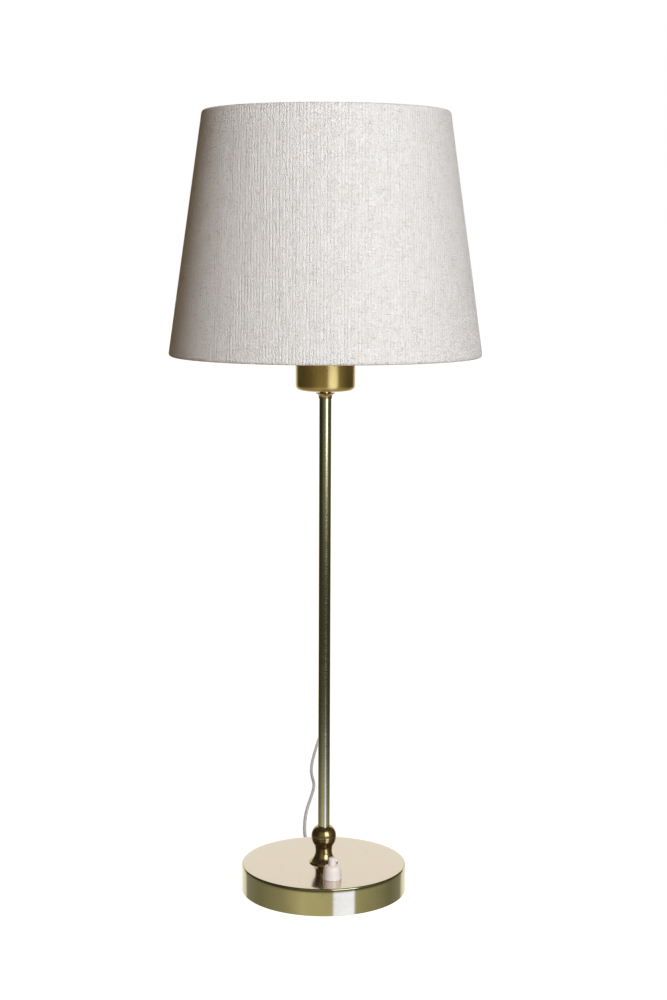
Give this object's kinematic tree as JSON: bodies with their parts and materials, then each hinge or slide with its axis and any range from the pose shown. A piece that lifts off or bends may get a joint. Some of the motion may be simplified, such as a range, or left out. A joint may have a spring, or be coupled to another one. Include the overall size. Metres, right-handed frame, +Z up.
{
  "type": "table_lamp",
  "caption": "Table lamp with a round weighted brass base, slim stem, socket cup, tapered linen drum shade that turns on its rings, and a turn switch on the base",
  "frame": {"origin": "centre of the underside of the base felt, on the surface that the lamp stands on, on the axis of the stem", "axes": "+Z up along the stem, +X to the right and +Y to the back, away from the side that carries the switch"},
  "size_m": [0.268, 0.81, 0.6796],
  "materials": {
    "polished_brass": "polished, clear lacquered",
    "cast_weight": "as cast, black",
    "zinc_steel": "zinc plated",
    "dark_felt": "pressed felt",
    "holder_plastic": "moulded, off-white",
    "porcelain": "glazed",
    "contact_brass": "plain brass",
    "shade_liner": "smooth white backing film",
    "white_wire": "white powder coat",
    "linen": "slubby natural linen weave",
    "opal_glass": "opal white",
    "cap_aluminium": "bright drawn",
    "black_glass": "black vitrite",
    "ivory_plastic": "moulded, satin gloss",
    "cord_rubber": "moulded, translucent grey",
    "blue_wire": "insulation",
    "brown_wire": "insulation",
    "cord_sheath": "smooth clear-grey sheath",
    "tie_plastic": "flat strap",
    "plug_plastic": "moulded, grey",
    "plated_pins": "nickel plated"
  },
  "bodies": {
    "lamp": {"base_cover": "polished_brass", "base_ballast": "cast_weight", "base_bottom_plate": "zinc_steel", "bottom_plate_screws": "zinc_steel", "base_felt": "dark_felt", "threaded_rod": "zinc_steel", "bottom_washer": "zinc_steel", "bottom_nut": "zinc_steel", "foot_turning": "polished_brass", "stem_tube": "polished_brass", "flared_collar": "polished_brass", "socket_cup": "polished_brass", "lampholder_cap": "holder_plastic", "lampholder_insert": "porcelain", "lampholder_terminal_screws": "contact_brass", "lampholder_skirt": "holder_plastic", "lampholder_thread_shell": "contact_brass", "lampholder_centre_contact": "contact_brass", "shade_rest_ring": "holder_plastic", "shade_clamp_ring": "holder_plastic", "bulb_glass": "opal_glass", "bulb_cap": "cap_aluminium", "bulb_insulator": "black_glass", "bulb_contact": "cap_aluminium", "switch_bell": "ivory_plastic", "switch_body": "holder_plastic", "switch_bottom_plate": "holder_plastic", "switch_contact_blades": "contact_brass", "cord_bushing": "cord_rubber", "cord_clamp": "holder_plastic", "cord_clamp_screws": "zinc_steel", "neutral_wire": "blue_wire", "live_wire": "brown_wire", "switched_wire": "brown_wire", "cord_tail": "cord_sheath", "cord_lead": "cord_sheath", "cord_hank": "cord_sheath", "cord_run": "cord_sheath", "hank_tie": "tie_plastic", "plug_body": "plug_plastic", "plug_pins": "plated_pins"},
    "shade": {"shade_fabric": "linen", "shade_lining": "shade_liner", "shade_top_ring": "white_wire", "shade_frame": "white_wire"},
    "switch_knob": {"switch_knob": "ivory_plastic"}
  },
  "joints": [
    {"name": "shade_turn", "type": "hinge", "parent": "lamp", "child": "shade", "pos_m": [0, 0, 0.49875], "axis": [0, 0, 1], "continuous": true},
    {"name": "switch_turn", "type": "hinge", "parent": "lamp", "child": "switch_knob", "pos_m": [0.0075, -0.0447, 0.034], "axis": [0, 0, 1], "range_deg": [0, 90]}
  ]
}
